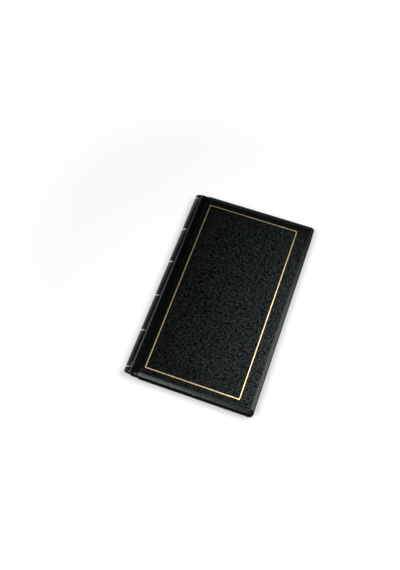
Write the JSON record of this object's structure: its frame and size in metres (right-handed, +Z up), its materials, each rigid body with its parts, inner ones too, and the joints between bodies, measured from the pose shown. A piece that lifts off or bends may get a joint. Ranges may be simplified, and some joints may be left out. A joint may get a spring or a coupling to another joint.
{
  "type": "minute book",
  "caption": "Loose-leaf minute book with stiff black leatherette covers, gold border, round spine and clamped sheets; it opens flat in the middle and its lock slide frees the sheets.",
  "frame": {"origin": "under the middle of the closed book, on the floor it lies on", "axes": "+X from the spine to the fore edge, +Y from the tail to the head, +Z up through the front cover"},
  "size_m": [0.23, 0.368, 0.022],
  "materials": {
    "board": "raw grey board",
    "leather": "fine pebble grain, satin",
    "lining": "printed, matt",
    "gold": "stamped gold foil",
    "steel": "zinc plated",
    "paper": "matt white",
    "cream": "matt cream"
  },
  "bodies": {
    "back_cover": {"back_board": "board", "back_leather": "leather", "back_lining": "lining"},
    "spine": {"spine_board": "board", "spine_leather": "leather", "spine_gold_line_1": "gold", "spine_gold_line_2": "gold", "spine_gold_line_3": "gold", "spine_gold_line_4": "gold", "spine_gold_line_5": "gold", "spine_gold_line_6": "gold", "front_joint_leather": "leather", "back_joint_leather": "leather", "binding_channel": "steel", "binding_post_1": "steel", "binding_post_2": "steel", "binding_post_3": "steel", "clamp_plate": "steel", "spine_rivet_1": "steel", "spine_rivet_2": "steel", "spine_rivet_3": "steel", "sheet_margins": "paper", "front_sheet_fold": "paper", "back_sheet_fold": "paper"},
    "front_cover": {"front_board": "board", "front_leather": "leather", "front_lining": "lining", "gold_line_head": "gold", "gold_line_tail": "gold", "gold_line_fore_edge": "gold", "gold_line_hinge": "gold"},
    "front_leaves": {"front_sheets": "paper", "index_leaf": "cream"},
    "back_leaves": {"back_sheets": "paper", "back_flyleaf": "cream"},
    "lock": {"lock_slide": "steel"}
  },
  "joints": [
    {"name": "back_joint", "type": "hinge", "parent": "back_cover", "child": "spine", "pos_m": [-0.1045, 0, 0.011], "axis": [0, -1, 0], "range_deg": [0, 90], "deforming": ["back_joint_leather"]},
    {"name": "front_joint", "type": "hinge", "parent": "spine", "child": "front_cover", "pos_m": [-0.1045, 0, 0.011], "axis": [0, -1, 0], "range_deg": [0, 90], "deforming": ["front_joint_leather"]},
    {"name": "front_leaves_turn", "type": "hinge", "parent": "spine", "child": "front_leaves", "pos_m": [-0.0915, 0, 0.011], "axis": [0, -1, 0], "range_deg": [0, 93.5], "deforming": ["front_sheet_fold"]},
    {"name": "back_leaves_turn", "type": "hinge", "parent": "spine", "child": "back_leaves", "pos_m": [-0.0915, 0, 0.011], "axis": [0, -1, 0], "range_deg": [-93.5, 0], "deforming": ["back_sheet_fold"]},
    {"name": "lock_slide_travel", "type": "slide", "parent": "spine", "child": "lock", "axis": [0, -1, 0], "range_m": [0, 0.008]}
  ],
  "couplings": [
    {"joint": "front_joint", "follows": "back_joint", "ratio": 1},
    {"joint": "front_leaves_turn", "follows": "back_joint", "ratio": 1.0389},
    {"joint": "back_leaves_turn", "follows": "back_joint", "ratio": -1.0389}
  ]
}
